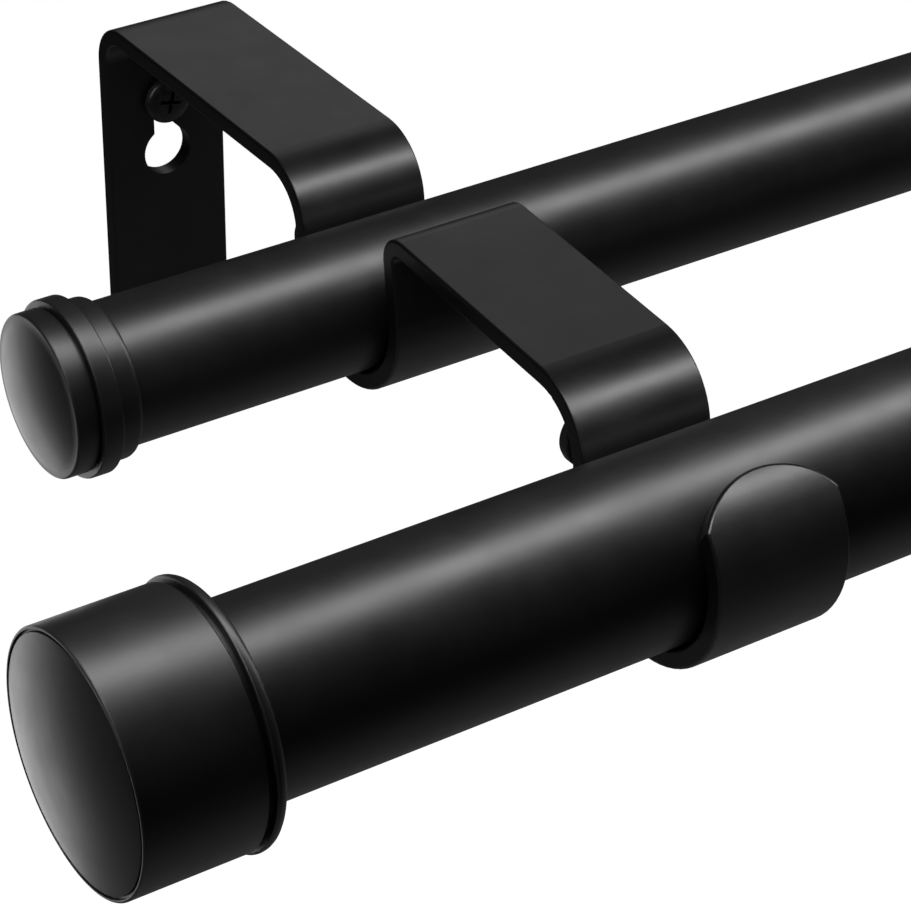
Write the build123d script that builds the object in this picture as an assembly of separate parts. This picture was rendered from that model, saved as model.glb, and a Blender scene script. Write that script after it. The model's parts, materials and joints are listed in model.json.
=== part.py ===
from build123d import *
import os
from math import radians, tan

# Double curtain pole: two telescoping round poles on two bent strip brackets, with end caps.
# The wall is the plane y = 0 and the room lies towards -Y. The poles run along X.
# The origin is on the wall, below the upper wall screw of the left bracket.
# All sizes are in millimetres.

# Nearest spacing of the brackets, with the pole pushed together
bracket_spacing = 529.0

# Bracket strip
strip_width = 20.0
strip_thickness = 2.6
plate_bottom_z = -30.0
plate_corner_radius = 3.0
arm_1_top_z = 30.3
arm_1_slope = 0.0
arm_2_top_y = -102.0
arm_2_top_z = 30.9
arm_2_slope = 3.5
drop_1_slant = 8.0
drop_2_slant = 1.0
wall_1_lean = 8.0
lip_wrap = 59.0
lip_spare = 6.0
lip_arc_radius = 12.0
plate_bend_radius = 7.0
arm_1_bend_radius = 9.5
wall_1_bend_radius = 4.0
arm_2_bend_radius = 11.0
strip_edge_rounding = 0.4

# Wall screws and their holes
upper_hole_z = 15.0
lower_hole_z = -22.0
slot_half_width = 2.2
keyhole_drop = 8.9
keyhole_radius = 4.0
wall_screw_radius = 1.9
wall_screw_length = 16.0
wall_screw_point = 4.5
wall_screw_neck_radius = 1.5
neck_past_plate = 1.0
wall_screw_head_radius = 3.7
wall_screw_head_height = 1.9

# Poles
rear_pole_y = -71.6
rear_pole_z = 16.8
front_pole_y = -140.8
front_pole_z = 15.6
rear_tube_radius = 10.0
front_tube_radius = 12.5
tube_wall = 0.8
cradle_gap = 0.4
telescope_step = 1.5
rear_tube_overhang = 53.8
front_tube_overhang = 83.0
mouth_to_bracket = 18.0

# Fits
press_clearance = 0.03
running_clearance = 0.06
socket_clearance = 0.1
thread_clearance = 0.05
end_gap = 0.3

# Plugs, guides and sleeves of the poles
plug_length = 15.0
guide_flange_length = 4.0
guide_barrel_length = 12.0
guide_wall = 1.6
sleeve_length = 16.0
sleeve_lip = 2.0
hidden_end_gap = 3.0

# Studs of the end caps
stud_radius = 3.0
stud_in_plug = 10.0

# Set screws
set_screw_radius = 2.5
set_screw_stand_off = 9.0
set_screw_head_radius = 4.4
set_screw_head_height = 3.2
set_screw_tip_gap = 0.1

# Side and crown of every screw head, and its cross recess
head_side_share = 0.45
shoulder_reach_share = 0.62
shoulder_height_share = 0.87
recess_width_share = 0.26
recess_reach_share = 0.62
recess_depth_share = 0.45

# Front end cap
front_cap_grip = 12.5
front_cap_wall = 3.85
front_cap_length = 18.3
front_cap_dome = 2.4
front_ring_wall = 4.3
front_ring_rounding = 1.2
front_ring_length = 1.6
front_groove_width = 0.7
front_groove_depth = 0.8
front_stud_in_cap = 5.0

# Rear end cap
rear_cap_grip = 6.2
rear_band_3_wall = 1.05
rear_band_3_length = 3.5
rear_band_2_wall = 2.15
rear_band_2_length = 2.9
rear_band_1_wall = 1.2
rear_cap_length = 9.8
rear_cap_dome = 1.6
rear_groove_width = 0.3
rear_groove_depth = 0.4
rear_stud_in_cap = 2.5
cap_edge_rounding = 0.45


def heading(angle):
    """Direction in the YZ plane, by its angle above the way into the room."""
    return Vector(0, -1, 0).rotate(Axis.X, -angle)


def upward(lean):
    """Angle of a run that goes up and leans back from the room."""
    return 90 + lean


def downward(slant):
    """Angle of a run that goes down and slants into the room."""
    return slant - 90


def inward(way):
    """From a run's angle, the direction square to it, on the side that the poles lie on."""
    return heading(upward(way))


def crossing(point_a, angle_a, point_b, angle_b):
    """Point where two lines in the YZ plane meet."""
    way_a = heading(angle_a)
    across_b = inward(angle_b)
    reach = (point_b - point_a).dot(across_b) / way_a.dot(across_b)
    return point_a + way_a * reach


def rounded_line(points, radii):
    """Edges through the points in turn, with an arc of its own radius at each inner point."""
    edges = []
    start = points[0]
    for corner, after, radius in zip(points[1:], points[2:], radii):
        way_in = (corner - start).normalized()
        way_out = (after - corner).normalized()
        if radius == 0:
            edges.append(Line(start, corner))
            start = corner
            continue
        cut_back = radius * tan(radians(way_in.get_angle(way_out) / 2))
        arc_start = corner - way_in * cut_back
        arc_end = corner + way_out * cut_back
        edges.append(Line(start, arc_start))
        edges.append(TangentArc(arc_start, arc_end, tangent=way_in))
        start = arc_end
    edges.append(Line(start, points[-1]))
    return edges


def rod(radius, start, length):
    """Solid cylinder along X on the X axis."""
    turned = Rot(0, 90, 0) * Cylinder(radius, length, align=(Align.CENTER, Align.CENTER, Align.MIN))
    return Pos(start, 0, 0) * turned


def ring(outer, inner, start, length):
    """Tube along X on the X axis."""
    return rod(outer, start, length) - rod(inner, start, length)


# Headings of the strip along its way from the plate to the lip
plate_way = upward(0)
arm_1_way = -arm_1_slope
drop_1_way = downward(drop_1_slant)
wall_1_way = upward(wall_1_lean)
arm_2_way = -arm_2_slope
drop_2_way = downward(drop_2_slant)
lip_way = upward(lip_wrap)
strip_end_way = upward(lip_wrap + lip_spare)

rear_axis = Vector(0, rear_pole_y, rear_pole_z)
front_axis = Vector(0, front_pole_y, front_pole_z)
rear_cradle_radius = rear_tube_radius + cradle_gap
front_cradle_radius = front_tube_radius + cradle_gap

# Outsides of the end caps, by their walls round the outer tubes' sockets
front_socket_radius = front_tube_radius + socket_clearance
front_cap_radius = front_socket_radius + front_cap_wall
front_ring_radius = front_socket_radius + front_ring_wall
rear_socket_radius = rear_tube_radius + socket_clearance
rear_band_1_radius = rear_socket_radius + rear_band_1_wall
rear_band_2_radius = rear_socket_radius + rear_band_2_wall
rear_band_3_radius = rear_socket_radius + rear_band_3_wall


def seat_point(axis, radius, way):
    """Point of a cradle's arc where the strip runs in the given direction."""
    return axis - inward(way) * radius


def cradle_arc(axis, radius, way_in, way_out):
    """Arc of the strip under a pole."""
    lowest = seat_point(axis, radius, (way_in + way_out) / 2)
    return ThreePointArc(seat_point(axis, radius, way_in), lowest, seat_point(axis, radius, way_out))


def strip_side(depth):
    """One long side of the bent strip, the given depth below the side that the poles lie on.

    The strip is left a little long past the lip, which is cut round afterwards.
    """
    rear_radius = rear_cradle_radius + depth
    front_radius = front_cradle_radius + depth
    plate_foot = Vector(0, -depth, plate_bottom_z)
    arm_1_point = Vector(0, 0, arm_1_top_z) - inward(arm_1_way) * depth
    arm_2_point = Vector(0, arm_2_top_y, arm_2_top_z) - inward(arm_2_way) * depth
    drop_1_foot = seat_point(rear_axis, rear_radius, drop_1_way)
    wall_1_foot = seat_point(rear_axis, rear_radius, wall_1_way)
    drop_2_foot = seat_point(front_axis, front_radius, drop_2_way)
    strip_end = seat_point(front_axis, front_radius, strip_end_way)
    first = [
        plate_foot,
        crossing(plate_foot, plate_way, arm_1_point, arm_1_way),
        crossing(arm_1_point, arm_1_way, drop_1_foot, drop_1_way),
        drop_1_foot,
    ]
    second = [
        wall_1_foot,
        crossing(wall_1_foot, wall_1_way, arm_2_point, arm_2_way),
        crossing(arm_2_point, arm_2_way, drop_2_foot, drop_2_way),
        drop_2_foot,
    ]
    edges = rounded_line(first, [plate_bend_radius - depth, arm_1_bend_radius - depth])
    edges.append(cradle_arc(rear_axis, rear_radius, drop_1_way, wall_1_way))
    edges += rounded_line(second, [wall_1_bend_radius - depth, arm_2_bend_radius - depth])
    edges.append(cradle_arc(front_axis, front_radius, drop_2_way, strip_end_way))
    return edges, plate_foot, strip_end


def lip_trim():
    """What is cut from the strip's end to leave the lip's round top."""
    apex = seat_point(front_axis, front_cradle_radius + strip_thickness, lip_way)
    face = Plane(origin=apex, x_dir=(-1, 0, 0), z_dir=inward(lip_way))
    block = Box(2 * strip_width, 2 * lip_arc_radius, 4 * strip_thickness)
    disc = Pos(0, -lip_arc_radius, 0) * Cylinder(lip_arc_radius, 4 * strip_thickness)
    return face * (block - disc)


def screw_hole_cut(radius, z):
    """Round hole through the wall plate."""
    return Pos(0, 0, z) * Rot(90, 0, 0) * Cylinder(radius, 4 * strip_thickness)


def set_screw_plane(axis, cradle_radius, way):
    """Frame of a set screw: the origin under its head, Z towards the pole's axis."""
    seat = axis - inward(way) * (cradle_radius + strip_thickness + set_screw_stand_off)
    return Plane(origin=seat, x_dir=(1, 0, 0), z_dir=inward(way))


def bracket():
    """Bracket bent from one strip, at x = 0, with the cradles made for the outer tubes."""
    upper_side, upper_foot, upper_top = strip_side(0)
    lower_side, lower_foot, lower_top = strip_side(strip_thickness)
    outline = Wire(upper_side + lower_side + [Line(upper_foot, lower_foot), Line(upper_top, lower_top)])
    strip = extrude(Face(outline), amount=strip_width / 2, dir=(1, 0, 0), both=True)
    strip -= lip_trim()
    foot_corners = strip.edges().filter_by(Axis.Y).sort_by(Axis.Z)[:2]
    strip = fillet(foot_corners, plate_corner_radius)
    side_edges = strip.edges().filter_by(lambda edge: edge.length > 2 * strip_thickness)
    strip = fillet(side_edges, strip_edge_rounding)
    slot = Box(2 * slot_half_width, 4 * strip_thickness, keyhole_drop)
    slot = Pos(0, 0, upper_hole_z - keyhole_drop / 2) * slot
    strip -= screw_hole_cut(keyhole_radius, upper_hole_z - keyhole_drop)
    strip -= slot
    strip -= screw_hole_cut(slot_half_width, upper_hole_z)
    strip -= screw_hole_cut(slot_half_width, lower_hole_z)
    for axis, cradle_radius, way in (
        (rear_axis, rear_cradle_radius, drop_1_way),
        (front_axis, front_cradle_radius, drop_2_way),
    ):
        frame = set_screw_plane(axis, cradle_radius, way)
        tapped = Cylinder(
            set_screw_radius + thread_clearance,
            set_screw_stand_off + 2 * strip_thickness,
            align=(Align.CENTER, Align.CENTER, Align.MIN),
        )
        strip -= frame * tapped
    return strip


def screw_head(radius, height):
    """Pan head with a cross recess, standing down from its underside at z = 0."""
    side = head_side_share * height
    shoulder = (shoulder_reach_share * radius, -shoulder_height_share * height)
    outline = [
        Line((0, 0), (radius, 0)),
        Line((radius, 0), (radius, -side)),
        ThreePointArc((radius, -side), shoulder, (0, -height)),
        Line((0, -height), (0, 0)),
    ]
    head = revolve(Plane.XZ * Face(Wire(outline)), Axis.Z)
    slot = Box(
        2 * recess_reach_share * radius,
        recess_width_share * radius,
        2 * recess_depth_share * height,
    )
    slot = Pos(0, 0, -height) * slot
    return head - slot - Rot(0, 0, 90) * slot


def set_screw(axis, cradle_radius, tube_radius, way, sag):
    """Screw through a bracket's drop, its tip against a pole that lies sag below the cradle's axis."""
    pole_reach = tube_radius + sag * inward(way).Z
    length = cradle_radius - pole_reach + strip_thickness + set_screw_stand_off - set_screw_tip_gap
    shank = Cylinder(set_screw_radius, length, align=(Align.CENTER, Align.CENTER, Align.MIN))
    shank = chamfer(shank.edges().sort_by(Axis.Z)[-1], set_screw_radius / 5)
    whole = screw_head(set_screw_head_radius, set_screw_head_height) + shank
    return set_screw_plane(axis, cradle_radius, way) * whole


def wall_screw(z):
    """Screw that holds the plate to the wall: its head on the plate, a plain neck, then the thread."""
    upright = (Align.CENTER, Align.CENTER, Align.MIN)
    neck_length = strip_thickness + neck_past_plate
    thread_length = wall_screw_length - wall_screw_point - neck_length
    neck = Cylinder(wall_screw_neck_radius, neck_length, align=upright)
    thread = Cylinder(wall_screw_radius, thread_length, align=upright)
    tip = Cone(wall_screw_radius, wall_screw_radius / 8, wall_screw_point, align=upright)
    thread_and_tip = thread + Pos(0, 0, thread_length) * tip
    head = screw_head(wall_screw_head_radius, wall_screw_head_height)
    whole = head + neck + Pos(0, 0, neck_length) * thread_and_tip
    seat = Plane(origin=(0, -strip_thickness, z), x_dir=(1, 0, 0), z_dir=(0, 1, 0))
    return seat * whole


def cap_body(outline, radii, dome):
    """Solid end cap turned from its outline, with the mouth at x = 0 and a domed end."""
    edges = rounded_line(outline, radii)
    rim_x, rim_radius = outline[-1].X, outline[-1].Y
    half_chord = rim_radius / 2
    sphere_radius = (rim_radius**2 + dome**2) / (2 * dome)
    rise = (sphere_radius**2 - half_chord**2) ** 0.5 - (sphere_radius - dome)
    edges.append(ThreePointArc((rim_x, rim_radius), (rim_x - rise, half_chord), (rim_x - dome, 0)))
    edges.append(Line((rim_x - dome, 0), (0, 0)))
    return revolve(Face(Wire(edges)), Axis.X)


def hollow_cap(body, tube_radius, grip, stud_depth):
    """End cap with the socket for its tube and the blind hole for its stud."""
    socket = rod(tube_radius + socket_clearance, -grip - end_gap, grip + 2 * end_gap)
    stud_hole = rod(stud_radius + thread_clearance, -grip - stud_depth - 2 * end_gap, grip)
    return body - socket - stud_hole


def front_cap(tube_radius):
    """End cap of the front pole: a domed barrel behind a rounded ring."""
    mouth = front_ring_radius - front_ring_rounding
    groove = front_cap_radius - front_groove_depth
    groove_end = -front_ring_length - front_groove_width
    rim = front_cap_radius - 2 * cap_edge_rounding
    outline = [
        Vector(0, 0),
        Vector(0, front_ring_radius),
        Vector(-front_ring_length, front_ring_radius),
        Vector(-front_ring_length, groove),
        Vector(groove_end, groove),
        Vector(groove_end, front_cap_radius),
        Vector(-front_cap_length, front_cap_radius),
        Vector(-front_cap_length, rim),
    ]
    soft = cap_edge_rounding / 2
    radii = [front_ring_radius - mouth, soft, 0, 0, soft, cap_edge_rounding]
    body = cap_body(outline, radii, front_cap_dome)
    return hollow_cap(body, tube_radius, front_cap_grip, front_stud_in_cap)


def rear_cap(tube_radius):
    """End cap of the rear pole: three stepped bands and a low dome."""
    band_2_start = -rear_band_3_length
    band_2_end = band_2_start - rear_band_2_length
    groove_end = band_2_end - rear_groove_width
    groove = rear_band_1_radius - rear_groove_depth
    rim = rear_band_1_radius - 2 * cap_edge_rounding
    outline = [
        Vector(0, 0),
        Vector(0, rear_band_3_radius),
        Vector(band_2_start, rear_band_3_radius),
        Vector(band_2_start, rear_band_2_radius),
        Vector(band_2_end, rear_band_2_radius),
        Vector(band_2_end, groove),
        Vector(groove_end, groove),
        Vector(groove_end, rear_band_1_radius),
        Vector(-rear_cap_length, rear_band_1_radius),
        Vector(-rear_cap_length, rim),
    ]
    soft = cap_edge_rounding / 2
    radii = [2 * cap_edge_rounding, 0, soft, soft, 0, 0, soft, cap_edge_rounding]
    body = cap_body(outline, radii, rear_cap_dome)
    return hollow_cap(body, tube_radius, rear_cap_grip, rear_stud_in_cap)


def end_plug(tube_radius):
    """Plug pressed into a tube that ends at x = 0, with a hole for the stud."""
    plug = rod(tube_radius - tube_wall - press_clearance, 0, plug_length)
    return plug - rod(stud_radius + thread_clearance, -1, stud_in_plug + 2)


def stud(depth_in_cap):
    """Stud between an end cap and the plug of a tube that ends at x = 0."""
    return rod(stud_radius, -end_gap - depth_in_cap, end_gap + depth_in_cap + stud_in_plug)


def tail_guide(outer_radius, inner_radius):
    """Guide on the hidden end of an inner tube that ends at x = 0; it slides in the outer tube."""
    barrel = inner_radius - tube_wall - press_clearance
    flange = outer_radius - tube_wall - running_clearance
    solid = rod(flange, -guide_flange_length, guide_flange_length) + rod(barrel, 0, guide_barrel_length)
    return solid - rod(barrel - guide_wall, -guide_flange_length, guide_flange_length + guide_barrel_length)


def slide_sleeve(outer_radius, inner_radius):
    """Sleeve in the mouth of an outer tube that ends at x = 0; the inner tube slides in it."""
    bore = inner_radius + running_clearance
    barrel = ring(outer_radius - tube_wall - press_clearance, bore, -sleeve_length, sleeve_length)
    return barrel + ring(outer_radius, bore, 0, sleeve_lip)


pieces = {}
left_bracket = bracket()
right_lift = telescope_step
outer_tube_mouth = bracket_spacing - strip_width / 2 - mouth_to_bracket - sleeve_lip
pieces["left_bracket"] = left_bracket
pieces["right_bracket"] = Pos(bracket_spacing, 0, right_lift) * left_bracket

for side, x, lift in (("left", 0, 0), ("right", bracket_spacing, right_lift)):
    for level, z in (("upper", upper_hole_z), ("lower", lower_hole_z)):
        pieces[f"{side}_{level}_wall_screw"] = Pos(x, 0, lift) * wall_screw(z)

poles = (
    ("front", front_axis, front_tube_radius, front_cradle_radius, drop_2_way, front_tube_overhang),
    ("rear", rear_axis, rear_tube_radius, rear_cradle_radius, drop_1_way, rear_tube_overhang),
)
caps = {
    "front": (front_cap, front_cap_grip, front_stud_in_cap),
    "rear": (rear_cap, rear_cap_grip, rear_stud_in_cap),
}
for pole, axis, outer_radius, cradle_radius, way, overhang in poles:
    make_cap, grip, depth_in_cap = caps[pole]
    inner_radius = outer_radius - telescope_step
    hidden_end = plug_length + guide_flange_length + hidden_end_gap - overhang
    right_end = bracket_spacing + overhang
    on_axis = Pos(axis)
    outer_tube = ring(outer_radius, outer_radius - tube_wall, -overhang, overhang + outer_tube_mouth)
    inner_tube = ring(inner_radius, inner_radius - tube_wall, hidden_end, right_end - hidden_end)
    pieces[f"{pole}_outer_tube"] = on_axis * outer_tube
    pieces[f"{pole}_inner_tube"] = on_axis * inner_tube
    sleeve = Pos(outer_tube_mouth, 0, 0) * slide_sleeve(outer_radius, inner_radius)
    guide = Pos(hidden_end, 0, 0) * tail_guide(outer_radius, inner_radius)
    pieces[f"{pole}_slide_sleeve"] = on_axis * sleeve
    pieces[f"{pole}_tail_guide"] = on_axis * guide
    ends = (("left", outer_radius, -overhang), ("right", inner_radius, right_end))
    for side, tube_radius, end in ends:
        fittings = {
            "cap": Pos(grip, 0, 0) * make_cap(tube_radius),
            "plug": end_plug(tube_radius),
            "stud": stud(depth_in_cap),
        }
        for name, shape in fittings.items():
            turned = shape if side == "left" else mirror(shape, about=Plane.YZ)
            pieces[f"{pole}_{side}_{name}"] = on_axis * Pos(end, 0, 0) * turned
    pieces[f"{pole}_left_set_screw"] = set_screw(axis, cradle_radius, outer_radius, way, 0)
    right_seat = Pos(bracket_spacing, 0, right_lift)
    right_screw = set_screw(axis, cradle_radius, inner_radius, way, right_lift)
    pieces[f"{pole}_right_set_screw"] = right_seat * right_screw

os.makedirs("parts", exist_ok=True)
for name, shape in pieces.items():
    shape.label = name
    export_step(shape, f"parts/{name}.step")
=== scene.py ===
import json
from math import cos, pi, radians, sin, tan

import bmesh
import bpy
from mathutils import Matrix, Vector

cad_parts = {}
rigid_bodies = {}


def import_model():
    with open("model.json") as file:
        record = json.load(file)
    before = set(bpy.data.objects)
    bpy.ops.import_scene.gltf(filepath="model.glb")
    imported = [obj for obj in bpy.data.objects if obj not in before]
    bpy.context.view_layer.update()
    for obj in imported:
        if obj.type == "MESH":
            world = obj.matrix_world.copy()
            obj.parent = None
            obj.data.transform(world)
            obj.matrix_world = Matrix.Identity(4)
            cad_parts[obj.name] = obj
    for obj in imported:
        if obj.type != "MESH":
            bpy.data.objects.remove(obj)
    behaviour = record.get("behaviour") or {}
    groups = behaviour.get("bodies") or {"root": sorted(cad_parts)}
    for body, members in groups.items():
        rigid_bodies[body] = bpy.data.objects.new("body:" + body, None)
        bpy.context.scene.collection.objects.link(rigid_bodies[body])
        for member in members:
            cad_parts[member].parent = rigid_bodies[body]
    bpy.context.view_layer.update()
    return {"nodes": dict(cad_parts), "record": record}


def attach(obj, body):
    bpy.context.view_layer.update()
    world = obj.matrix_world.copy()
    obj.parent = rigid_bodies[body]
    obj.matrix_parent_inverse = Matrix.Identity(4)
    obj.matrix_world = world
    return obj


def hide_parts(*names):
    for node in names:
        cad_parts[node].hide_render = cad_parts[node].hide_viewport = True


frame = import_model()
scene = bpy.context.scene
scene.view_settings.view_transform = "Standard"

# Sizes of the pieces are in millimetres
MM = 0.001

# Sizes shared by the pieces
BRACKET_SPACING = 529.0
STRIP_THICKNESS = 2.6
POLE_STEP = 1.5
RIGHT_LIFT = POLE_STEP
FRONT_TUBE_RADIUS = 12.5
REAR_TUBE_RADIUS = 10.0
CRADLE_GAP = 0.4
FRONT_AXIS = Vector((0, -140.8, 15.6))
REAR_AXIS = Vector((0, -71.6, 16.8))

# Steps round a turned piece
CAP_STEPS = 128
HEAD_STEPS = 64
CORE_STEPS = 40
THREAD_STEPS = 28


def deselect_everything():
    """Leaves edit mode and selects nothing."""
    if bpy.context.object is not None and bpy.context.object.mode == "EDIT":
        bpy.ops.object.mode_set(mode="OBJECT")
    bpy.ops.object.select_all(action="DESELECT")


# Finishes

def new_finish(name):
    """A new material with its shader, and a helper that adds a node and fills its inputs.

    An input is given by its name, or by its number as i0, i1 and so on.
    """
    finish = bpy.data.materials.new(name)
    finish.use_nodes = True
    tree = finish.node_tree
    shader = tree.nodes["Principled BSDF"]

    def node(kind, data_type=None, **inputs):
        made = tree.nodes.new(kind)
        if data_type is not None:
            made.data_type = data_type
        for key, value in inputs.items():
            numbered = key[0] == "i" and key[1:].isdigit()
            socket = made.inputs[int(key[1:])] if numbered else made.inputs[key]
            if isinstance(value, bpy.types.NodeSocket):
                tree.links.new(value, socket)
            else:
                socket.default_value = value
        return made

    return finish, shader, node, tree


def mapped(node, value, old, new):
    """A value moved from an old range to a new one."""
    return node("ShaderNodeMapRange", i0=value, i1=old[0], i2=old[1], i3=new[0], i4=new[1]).outputs[0]


def satin_black_coat(name, dark, pale, rough_mean, peel, grain, wear=0.05):
    """Satin black powder coat: orange peel, a fine grain, uneven gloss and faint pale specks."""
    finish, shader, node, tree = new_finish(name)
    place = node("ShaderNodeTexCoord").outputs["Object"]
    cloud = node("ShaderNodeTexNoise", Vector=place, Scale=55.0, Detail=3.0)
    tone = node("ShaderNodeValToRGB", Fac=cloud.outputs["Fac"])
    tone.color_ramp.elements[0].position = 0.35
    tone.color_ramp.elements[0].color = (dark, dark, dark * 1.03, 1)
    tone.color_ramp.elements[1].position = 0.7
    tone.color_ramp.elements[1].color = (pale, pale, pale * 1.03, 1)
    speck = node("ShaderNodeTexNoise", Vector=place, Scale=2600.0, Detail=1.0)
    speck_step = mapped(node, speck.outputs["Fac"], (0.68, 0.78), (0.0, wear))
    tint = node(
        "ShaderNodeMix",
        data_type="RGBA",
        i0=speck_step,
        i6=tone.outputs["Color"],
        i7=(0.06, 0.06, 0.062, 1),
    )
    tree.links.new(tint.outputs[2], shader.inputs["Base Color"])
    haze = node("ShaderNodeTexNoise", Vector=place, Scale=120.0, Detail=5.0, Roughness=0.6)
    rough = mapped(node, haze.outputs["Fac"], (0.3, 0.7), (rough_mean - 0.025, rough_mean + 0.035))
    tree.links.new(rough, shader.inputs["Roughness"])
    shader.inputs["Specular IOR Level"].default_value = 0.62
    peel_noise = node("ShaderNodeTexNoise", Vector=place, Scale=520.0, Detail=2.0)
    peel_bump = node("ShaderNodeBump", Strength=peel, Distance=0.00012, Height=peel_noise.outputs["Fac"])
    grain_noise = node("ShaderNodeTexNoise", Vector=place, Scale=3200.0, Detail=2.0)
    grain_bump = node(
        "ShaderNodeBump",
        Strength=grain,
        Distance=0.00003,
        Height=grain_noise.outputs["Fac"],
        Normal=peel_bump.outputs["Normal"],
    )
    tree.links.new(grain_bump.outputs["Normal"], shader.inputs["Normal"])
    return finish


def screw_steel(name, dark, pale, metal, rough_mean):
    """Steel screw finish with turning marks and small stains."""
    finish, shader, node, tree = new_finish(name)
    place = node("ShaderNodeTexCoord").outputs["Object"]
    stain = node("ShaderNodeTexNoise", Vector=place, Scale=900.0, Detail=4.0)
    tone = node("ShaderNodeValToRGB", Fac=stain.outputs["Fac"])
    tone.color_ramp.elements[0].position = 0.3
    tone.color_ramp.elements[0].color = (dark, dark, dark * 1.02, 1)
    tone.color_ramp.elements[1].position = 0.72
    tone.color_ramp.elements[1].color = (pale, pale, pale * 1.02, 1)
    tree.links.new(tone.outputs["Color"], shader.inputs["Base Color"])
    shader.inputs["Metallic"].default_value = metal
    rough = mapped(node, stain.outputs["Fac"], (0.3, 0.7), (rough_mean - 0.06, rough_mean + 0.08))
    tree.links.new(rough, shader.inputs["Roughness"])
    marks = node("ShaderNodeTexNoise", Vector=place, Scale=4200.0, Detail=2.0)
    bump = node("ShaderNodeBump", Strength=0.25, Distance=0.00003, Height=marks.outputs["Fac"])
    tree.links.new(bump.outputs["Normal"], shader.inputs["Normal"])
    return finish


def moulded_plastic(name, dark, pale, rough_mean):
    """Black moulded plastic with a fine spark-eroded grain."""
    finish, shader, node, tree = new_finish(name)
    place = node("ShaderNodeTexCoord").outputs["Object"]
    cloud = node("ShaderNodeTexNoise", Vector=place, Scale=300.0, Detail=3.0)
    tone = node("ShaderNodeValToRGB", Fac=cloud.outputs["Fac"])
    tone.color_ramp.elements[0].color = (dark, dark, dark, 1)
    tone.color_ramp.elements[1].color = (pale, pale, pale, 1)
    tree.links.new(tone.outputs["Color"], shader.inputs["Base Color"])
    rough = mapped(node, cloud.outputs["Fac"], (0.3, 0.7), (rough_mean - 0.05, rough_mean + 0.05))
    tree.links.new(rough, shader.inputs["Roughness"])
    grain = node("ShaderNodeTexVoronoi", Vector=place, Scale=3500.0)
    bump = node("ShaderNodeBump", Strength=0.3, Distance=0.00004, Height=grain.outputs["Distance"])
    tree.links.new(bump.outputs["Normal"], shader.inputs["Normal"])
    return finish


finishes = {
    "bracket_coat": satin_black_coat("bracket powder coat", 0.0030, 0.0040, 0.35, peel=0.12, grain=0.10),
    "pole_coat": satin_black_coat("pole powder coat", 0.0020, 0.0027, 0.40, peel=0.10, grain=0.10),
    "cap_coat": satin_black_coat("end cap coat", 0.0021, 0.0028, 0.41, peel=0.10, grain=0.12),
    "wall_screw_steel": screw_steel("wall screw black oxide", 0.018, 0.045, 0.6, 0.36),
    "set_screw_steel": screw_steel("set screw black oxide", 0.012, 0.030, 0.5, 0.38),
    "stud_steel": screw_steel("stud zinc", 0.42, 0.62, 1.0, 0.34),
    "slide_plastic": moulded_plastic("slide plastic", 0.010, 0.016, 0.48),
}

# Every plain piece takes the finish of its own slot
node_slots = {part["node"]: part["material_slot"] for part in frame["record"]["subparts"]}
for name, cad_node in frame["nodes"].items():
    cad_node.data.materials.clear()
    cad_node.data.materials.append(finishes[node_slots[name]])


# Shaping of the new pieces

def select_faces(piece, test):
    """In edit mode, selects only the faces that pass the test."""
    mesh = bmesh.from_edit_mesh(piece.data)
    bpy.ops.mesh.select_mode(type="FACE")
    for face in mesh.faces:
        face.select_set(test(face))
    mesh.select_flush_mode()
    bmesh.update_edit_mesh(piece.data)


def drawn_outline(name, points):
    """A line of edges through the points, drawn from one point by extruding it; stays in edit mode."""
    deselect_everything()
    bpy.ops.mesh.primitive_plane_add(size=MM)
    piece = bpy.context.object
    piece.name = name
    piece.data.name = name
    bpy.ops.object.mode_set(mode="EDIT")
    bpy.ops.mesh.select_mode(type="VERT")
    bpy.ops.mesh.select_all(action="SELECT")
    bpy.ops.mesh.merge(type="CENTER")
    bpy.ops.transform.translate(value=points[0])
    for here, there in zip(points, points[1:]):
        step = Vector(there) - Vector(here)
        bpy.ops.mesh.extrude_region_move(TRANSFORM_OT_translate={"value": step})
    return piece


def clean_skin():
    """Merges doubled points and turns every face outwards, in edit mode."""
    bpy.ops.mesh.select_all(action="SELECT")
    bpy.ops.mesh.remove_doubles(threshold=MM / 1000)
    bpy.ops.mesh.normals_make_consistent(inside=False)


def turned(name, points, axis, steps):
    """A solid of revolution from an outline that starts and ends on the axis."""
    piece = drawn_outline(name, points)
    bpy.ops.mesh.select_all(action="SELECT")
    bpy.ops.mesh.spin(steps=steps, angle=2 * pi, center=(0, 0, 0), axis=axis)
    clean_skin()
    bpy.ops.object.mode_set(mode="OBJECT")
    return piece


def select_only(piece):
    """Selects one piece and makes it the active one."""
    deselect_everything()
    piece.select_set(True)
    bpy.context.view_layer.objects.active = piece


def soften(piece, angle):
    """Smooth shading, with edges sharper than the angle left crisp."""
    select_only(piece)
    bpy.ops.object.shade_smooth_by_angle(angle=radians(angle))


def cut_away(piece, cutter):
    """Cuts one solid out of another and removes the cutter."""
    cut = piece.modifiers.new("recess", "BOOLEAN")
    cut.operation = "DIFFERENCE"
    cut.solver = "EXACT"
    cut.object = cutter
    select_only(piece)
    bpy.ops.object.modifier_apply(modifier=cut.name)
    bpy.data.objects.remove(cutter)


def joined(name, parts):
    """Joins the parts into one piece."""
    deselect_everything()
    for part in parts:
        part.select_set(True)
    bpy.context.view_layer.objects.active = parts[0]
    bpy.ops.object.join()
    parts[0].name = name
    parts[0].data.name = name
    return parts[0]


def put_in_place(piece, place, body, node, finish):
    """Sets the piece in its place on its body, in the stead of the plain one."""
    piece.matrix_world = place
    select_only(piece)
    bpy.ops.object.transform_apply(location=True, rotation=True, scale=True)
    piece.data.materials.clear()
    piece.data.materials.append(finishes[finish])
    piece.name = node + ".made"
    piece.data.name = piece.name
    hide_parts(node)
    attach(piece, body)


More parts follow.
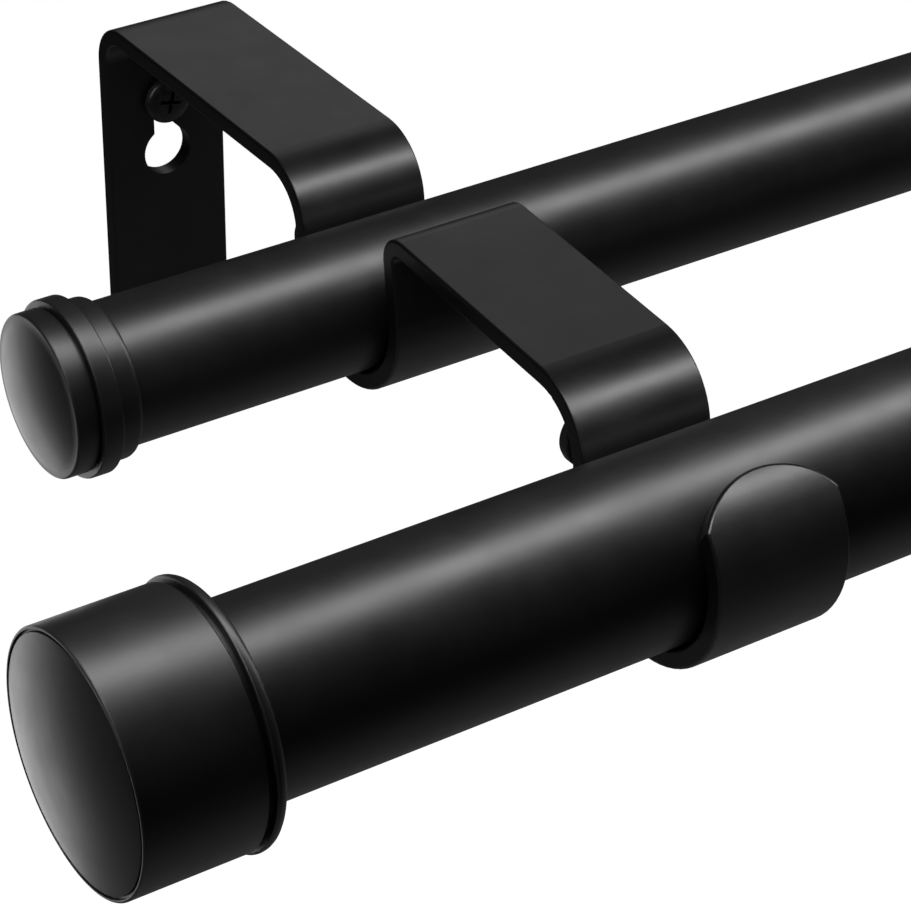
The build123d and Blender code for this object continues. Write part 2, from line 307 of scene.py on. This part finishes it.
def own_copy(piece):
    """A copy with its own mesh."""
    twin = piece.copy()
    twin.data = piece.data.copy()
    scene.collection.objects.link(twin)
    return twin


def round_corners(points, radii, steps=5):
    """Points of an outline with an arc at each inner corner."""
    rounded = [Vector(points[0])]
    for before, corner, after, radius in zip(points, points[1:], points[2:], radii):
        corner = Vector(corner)
        if radius == 0:
            rounded.append(corner)
            continue
        back = (Vector(before) - corner).normalized()
        ahead = (Vector(after) - corner).normalized()
        half = back.angle(ahead) / 2
        middle = corner + (back + ahead).normalized() * radius / sin(half)
        first = corner + back * radius / tan(half) - middle
        last = corner + ahead * radius / tan(half) - middle
        for step in range(steps + 1):
            rounded.append(middle + first.slerp(last, step / steps) * radius)
    rounded.append(Vector(points[-1]))
    return rounded


def crown(edge_x, edge_radius, rise, steps=14):
    """Points of a low dome from its edge to the axis."""
    sphere = (edge_radius**2 + rise**2) / (2 * rise)
    points = []
    for step in range(1, steps + 1):
        radius = edge_radius * (1 - step / steps)
        points.append(Vector((edge_x - (sphere**2 - radius**2) ** 0.5 + sphere - rise, radius)))
    return points


# End caps

CAP_FIT = 0.1
STUD_HOLE_RADIUS = 3.05
CAP_CREASE_ANGLE = 40


def cap_inside(socket_radius, socket_floor, stud_floor):
    """Outline of a cap's hollow, from the axis to its mouth."""
    return [
        (-stud_floor, 0),
        (-stud_floor, STUD_HOLE_RADIUS),
        (-socket_floor, STUD_HOLE_RADIUS),
        (-socket_floor, socket_radius),
        (0, socket_radius),
    ]


def turned_cap(name, inside, outside, radii, dome):
    """A cap turned from its hollow, its outside with rounded corners, and its dome."""
    edge_x, edge_radius = outside[-1]
    outline = round_corners(inside + outside, [0] * (len(inside) - 1) + radii)
    outline += crown(edge_x, edge_radius, dome)
    return turned(name, [(x * MM, r * MM, 0) for x, r in outline], (1, 0, 0), CAP_STEPS)


def front_cap(socket_radius):
    """Front end cap: narrow rounded ring, groove, long barrel, fine line round a domed end."""
    ring, groove, barrel = 16.89, 15.65, 16.45
    ring_end, groove_end, barrel_end = -1.6, -2.3, -18.3
    line_floor, line_outer, line_inner = -17.9, 15.98, 15.72
    outside = [
        (0, ring),
        (ring_end, ring),
        (ring_end, groove),
        (groove_end, groove),
        (groove_end, barrel),
        (barrel_end, barrel),
        (barrel_end, line_outer + 0.04),
        (line_floor, line_outer),
        (line_floor, line_inner),
        (barrel_end + 0.02, line_inner - 0.06),
        (barrel_end - 0.04, 15.5),
    ]
    radii = [1.2, 0.35, 0, 0, 0.4, 0.3, 0.05, 0, 0, 0.05]
    inside = cap_inside(socket_radius, socket_floor=12.8, stud_floor=18.1)
    return turned_cap("front cap", inside, outside, radii, dome=2.36)


def rear_cap(socket_radius):
    """Rear end cap: three stepped bands, a fine groove and a low dome."""
    band_1, groove, band_2, band_3, dome_edge = 11.3, 10.9, 12.25, 11.15, 10.6
    band_3_end, band_2_end, groove_end, band_1_end = -3.5, -6.4, -6.7, -9.8
    outside = [
        (0, band_3),
        (band_3_end, band_3),
        (band_3_end, band_2),
        (band_2_end, band_2),
        (band_2_end, groove),
        (groove_end, groove),
        (groove_end, band_1),
        (band_1_end, band_1),
        (band_1_end, dome_edge),
    ]
    radii = [0.9, 0, 0.35, 0.3, 0, 0, 0.12, 0.4]
    inside = cap_inside(socket_radius, socket_floor=6.5, stud_floor=9.3)
    return turned_cap("rear cap", inside, outside, radii, dome=1.6)


half_turn = Matrix.Rotation(pi, 4, "Z")
for pole, make_cap, axis, tube_radius, mouth in (
    ("front", front_cap, FRONT_AXIS, FRONT_TUBE_RADIUS, 70.5),
    ("rear", rear_cap, REAR_AXIS, REAR_TUBE_RADIUS, 47.6),
):
    left = make_cap(tube_radius + CAP_FIT)
    soften(left, CAP_CREASE_ANGLE)
    left_place = Matrix.Translation((axis + Vector((-mouth, 0, 0))) * MM)
    put_in_place(left, left_place, "left_half", f"{pole}_left_cap", "cap_coat")
    right = make_cap(tube_radius - POLE_STEP + CAP_FIT)
    soften(right, CAP_CREASE_ANGLE)
    right_place = Matrix.Translation((axis + Vector((BRACKET_SPACING + mouth, 0, 0))) * MM) @ half_turn
    put_in_place(right, right_place, "right_half", f"{pole}_right_cap", "cap_coat")


# Screws

SCREW_CREASE_ANGLE = 32
SET_SCREW_STAND_OFF = 9.0
WALL_SCREW_NECK = 3.7


def cross_cutter(reach, width, depth, arm_taper=0.82, foot_taper=0.62):
    """A cross with tapered ends and a tapered foot, to cut a driver recess from z = 0 upwards."""
    deselect_everything()
    bpy.ops.mesh.primitive_cube_add(size=1, location=(0, 0, 0))
    cross = bpy.context.object
    bpy.ops.object.mode_set(mode="EDIT")
    bpy.ops.mesh.select_all(action="SELECT")
    bpy.ops.transform.resize(value=(width, width, 2 * depth))
    for way in ((1, 0, 0), (-1, 0, 0), (0, 1, 0), (0, -1, 0)):
        out = Vector(way)
        root = out * width / 2
        select_faces(cross, lambda face: (face.calc_center_median() - root).length < width / 10)
        bpy.ops.mesh.extrude_region_move(TRANSFORM_OT_translate={"value": out * (reach - width / 2)})
        bpy.ops.transform.resize(value=(arm_taper, arm_taper, 1))
    select_faces(cross, lambda face: face.calc_center_median().z > depth * 0.9)
    bpy.ops.transform.resize(value=(foot_taper, foot_taper, 1))
    bpy.ops.mesh.select_all(action="SELECT")
    bpy.ops.mesh.normals_make_consistent(inside=False)
    bpy.ops.object.mode_set(mode="OBJECT")
    return cross


def helix(root, crest, pitch, start, length):
    """Thread ridge wound round Z: its tooth drawn, wound by a screw modifier, its ends filled."""
    turns = int(length / pitch) - 1
    tooth = [
        (root, 0, start),
        (crest, 0, start + 0.40 * pitch),
        (crest, 0, start + 0.52 * pitch),
        (root, 0, start + 0.92 * pitch),
        (root, 0, start),
    ]
    ridge = drawn_outline("ridge", [Vector(point) * MM for point in tooth])
    bpy.ops.mesh.select_all(action="SELECT")
    bpy.ops.mesh.remove_doubles(threshold=MM / 1000)
    bpy.ops.object.mode_set(mode="OBJECT")
    wind = ridge.modifiers.new("wind", "SCREW")
    wind.axis = "Z"
    wind.angle = 2 * pi
    wind.screw_offset = pitch * MM
    wind.iterations = turns
    wind.steps = THREAD_STEPS
    wind.render_steps = THREAD_STEPS
    wind.use_normal_calculate = True
    bpy.ops.object.modifier_apply(modifier=wind.name)
    bpy.ops.object.mode_set(mode="EDIT")
    bpy.ops.mesh.select_all(action="SELECT")
    bpy.ops.mesh.fill_holes(sides=4)
    clean_skin()
    bpy.ops.object.mode_set(mode="OBJECT")
    return ridge


def pan_head(radius, height):
    """Pan head under z = 0 with a rolled edge, a crowned top and a cross recess."""
    edge_break = 0.15
    outline = [
        (0, 0),
        (radius - edge_break, 0),
        (radius, -edge_break),
        (radius, -0.45 * height),
        (0.965 * radius, -0.60 * height),
        (0.87 * radius, -0.74 * height),
        (0.70 * radius, -0.86 * height),
        (0.46 * radius, -0.95 * height),
        (0.22 * radius, -0.99 * height),
        (0, -height),
    ]
    head = turned("head", [(r * MM, 0, z * MM) for r, z in outline], (0, 0, 1), HEAD_STEPS)
    cutter = cross_cutter(0.62 * radius * MM, 0.24 * radius * MM, 0.62 * height * MM)
    cutter.location = (0, 0, -height * MM)
    cut_away(head, cutter)
    return head


def threaded_shank(radius, root, pitch, plain, length, point, tip_radius):
    """Shank from z = 0: a plain neck, the thread, and a point of the given length."""
    sunk = 0.05
    neck = root + sunk
    thread_end = length - point
    outline = [(0, 0), (neck, 0), (neck, thread_end), (tip_radius, length), (0, length)]
    core = turned("core", [(r * MM, 0, z * MM) for r, z in outline], (0, 0, 1), CORE_STEPS)
    ridge = helix(root - sunk, radius, pitch, plain, thread_end - plain)
    return [core, ridge]


def set_screw(length):
    """Set screw with a fine machine thread and a small flat point."""
    head = pan_head(radius=4.4, height=3.2)
    shank = threaded_shank(2.5, root=2.08, pitch=0.8, plain=0.6, length=length, point=0.5, tip_radius=1.63)
    return joined("set screw", [head] + shank)


def wall_screw():
    """Wall screw with a coarse thread past its plain neck and a long point."""
    head = pan_head(radius=3.7, height=1.9)
    shank = threaded_shank(
        1.9,
        root=1.3,
        pitch=1.35,
        plain=WALL_SCREW_NECK,
        length=16.0,
        point=4.5,
        tip_radius=0.225,
    )
    return joined("wall screw", [head] + shank)


def drive_frame(seat, way, twist):
    """Placement of a screw: its head's seat, its way in, and how far it is turned."""
    z = Vector(way).normalized()
    x = Vector((1, 0, 0))
    y = z.cross(x)
    turned_home = Matrix.Rotation(radians(twist), 4, "Z")
    return Matrix.Translation(Vector(seat) * MM) @ Matrix((x, y, z)).transposed().to_4x4() @ turned_home


sides = (("left", 0, 0), ("right", BRACKET_SPACING, RIGHT_LIFT))

first_wall_screw = wall_screw()
soften(first_wall_screw, SCREW_CREASE_ANGLE)
for side, x, lift in sides:
    for level, z, twist in (("upper", 15.0, 14), ("lower", -22.0, 37)):
        screw = own_copy(first_wall_screw)
        place = drive_frame((x, -STRIP_THICKNESS, z + lift), (0, 1, 0), twist)
        put_in_place(screw, place, f"{side}_half", f"{side}_{level}_wall_screw", "wall_screw_steel")
bpy.data.objects.remove(first_wall_screw)

for pole, axis, tube_radius, slant, lengths, twist in (
    ("front", FRONT_AXIS, FRONT_TUBE_RADIUS, 1.0, (11.9, 13.37), 22),
    ("rear", REAR_AXIS, REAR_TUBE_RADIUS, 8.0, (11.9, 13.19), 51),
):
    way = Vector((0, -cos(radians(slant)), sin(radians(slant))))
    head_reach = tube_radius + CRADLE_GAP + STRIP_THICKNESS + SET_SCREW_STAND_OFF
    for (side, x, lift), length in zip(sides, lengths):
        screw = set_screw(length)
        soften(screw, SCREW_CREASE_ANGLE)
        place = drive_frame(axis + Vector((x, 0, lift)) - way * head_reach, way, twist)
        put_in_place(screw, place, f"{side}_half", f"{pole}_{side}_set_screw", "set_screw_steel")


# Stage

def white_for_the_camera(name, colour, lift):
    """Pale matt floor that the camera sees lifted to white, with the shadow kept."""
    finish, shader, node, tree = new_finish(name)
    shader.inputs["Base Color"].default_value = colour
    shader.inputs["Roughness"].default_value = 0.9
    shader.inputs["Specular IOR Level"].default_value = 0.1
    lit = node("ShaderNodeEmission", Color=(1, 1, 1, 1), Strength=lift)
    both = node("ShaderNodeAddShader", i0=shader.outputs[0], i1=lit.outputs[0])
    seen = node("ShaderNodeLightPath")
    choice = node(
        "ShaderNodeMixShader",
        i0=seen.outputs["Is Camera Ray"],
        i1=shader.outputs[0],
        i2=both.outputs[0],
    )
    tree.links.new(choice.outputs[0], tree.nodes["Material Output"].inputs["Surface"])
    return finish


# Floor, in metres
deselect_everything()
bpy.ops.mesh.primitive_plane_add(size=30, location=(0.3, 0, -0.9))
floor = bpy.context.object
floor.name = "floor"
floor.data.materials.append(white_for_the_camera("pale floor", (0.6, 0.6, 0.6, 1), 0.975))

# White surroundings for the camera; for the pieces a dim room with a soft glow on the wall's side
world = bpy.data.worlds.new("studio")
scene.world = world
world.use_nodes = True
sky = world.node_tree
sky.nodes.clear()
out = sky.nodes.new("ShaderNodeOutputWorld")
where = sky.nodes.new("ShaderNodeTexCoord")
toward_wall = sky.nodes.new("ShaderNodeVectorMath")
toward_wall.operation = "DOT_PRODUCT"
toward_wall.inputs[1].default_value = Vector((0.45, 0.78, 0.42)).normalized()
sky.links.new(where.outputs["Generated"], toward_wall.inputs[0])
soft_wall = sky.nodes.new("ShaderNodeMapRange")
soft_wall.interpolation_type = "SMOOTHSTEP"
soft_wall.inputs["From Min"].default_value = 0.62
soft_wall.inputs["From Max"].default_value = 0.98
soft_wall.inputs["To Min"].default_value = 0.010
soft_wall.inputs["To Max"].default_value = 0.07
sky.links.new(toward_wall.outputs["Value"], soft_wall.inputs["Value"])
studio_light = sky.nodes.new("ShaderNodeBackground")
sky.links.new(soft_wall.outputs[0], studio_light.inputs["Strength"])
white = sky.nodes.new("ShaderNodeBackground")
white.inputs["Color"].default_value = (1, 1, 1, 1)
white.inputs["Strength"].default_value = 1.0
seen = sky.nodes.new("ShaderNodeLightPath")
choice = sky.nodes.new("ShaderNodeMixShader")
sky.links.new(seen.outputs["Is Camera Ray"], choice.inputs[0])
sky.links.new(studio_light.outputs[0], choice.inputs[1])
sky.links.new(white.outputs[0], choice.inputs[2])
sky.links.new(choice.outputs[0], out.inputs["Surface"])


def soft_box(name, place, aim, size_x, size_y, radiance):
    """Area light of an even radiance, turned to face a point, hidden from the camera."""
    data = bpy.data.lights.new(name, "AREA")
    data.shape = "RECTANGLE"
    data.size = size_x
    data.size_y = size_y
    data.energy = radiance * size_x * size_y * pi
    lamp = bpy.data.objects.new(name, data)
    scene.collection.objects.link(lamp)
    lamp.location = place
    lamp.rotation_euler = (Vector(place) - Vector(aim)).to_track_quat("Z", "Y").to_euler()
    lamp.visible_camera = False
    return lamp


def strip_light(name, place, length, width, radiance):
    """Long soft box over the poles, along X, facing down."""
    lamp = soft_box(name, place, (place[0], place[1], place[2] - 1), length, width, radiance)
    lamp.rotation_euler = (0, 0, 0)
    return lamp


def light_only(lamp, name, test):
    """Lets the lamp light only the pieces whose names pass the test."""
    lit = bpy.data.collections.new(name)
    for piece in bpy.data.objects:
        if piece.type == "MESH" and test(piece.name):
            lit.objects.link(piece)
    lamp.light_linking.receiver_collection = lit


def is_bracket(name):
    """Whether a name is that of a bracket."""
    return name.endswith("_bracket")


def is_cap(name):
    """Whether a name is that of an end cap."""
    return name.endswith("_cap.made")


# Soft boxes, in metres: over the poles, before the brackets' bends, over their arms, and at the cap ends
overhead = strip_light("overhead strip", (0.35, -0.105, 0.266), 3.0, 0.095, 8.0)
light_only(overhead, "under the overhead strip", lambda name: not is_bracket(name))
bend_strip = soft_box("bend strip", (0.5, -0.62, 0.95), (0.5, -0.09, 0.03), 3.0, 0.24, 11.0)
light_only(bend_strip, "under the bend strip", is_bracket)
arm_glow = soft_box("arm glow", (0.42, 0.60, 0.50), (0, -0.06, 0.03), 0.50, 0.50, 0.50)
light_only(arm_glow, "under the arm glow", is_bracket)
end_fill = soft_box("end fill", (-0.12, 0.86, -0.66), (-0.09, -0.1, 0), 1.0, 1.0, 1.9)
light_only(end_fill, "before the end fill", is_cap)


# Camera

PICTURE_WIDTH = 911
FOCAL_LENGTH = 3312.15
SENSOR_WIDTH = 36
azimuth = radians(-33.79)
elevation = radians(33.16)
roll = radians(0.91)
camera_place = (-0.21532, -0.40578, 0.24769)
back = Vector((sin(azimuth) * cos(elevation), -cos(azimuth) * cos(elevation), sin(elevation)))
level_right = Vector((cos(azimuth), sin(azimuth), 0))
level_up = back.cross(level_right)
camera_right = level_right * cos(roll) + level_up * sin(roll)
camera_up = level_up * cos(roll) - level_right * sin(roll)
lens = bpy.data.cameras.new("camera")
lens.sensor_width = SENSOR_WIDTH
lens.lens = FOCAL_LENGTH * SENSOR_WIDTH / PICTURE_WIDTH
lens.clip_start = 0.01
lens.clip_end = 60
camera = bpy.data.objects.new("camera", lens)
scene.collection.objects.link(camera)
turn = Matrix((camera_right, camera_up, back)).transposed().to_4x4()
camera.matrix_world = Matrix.Translation(camera_place) @ turn
scene.camera = camera
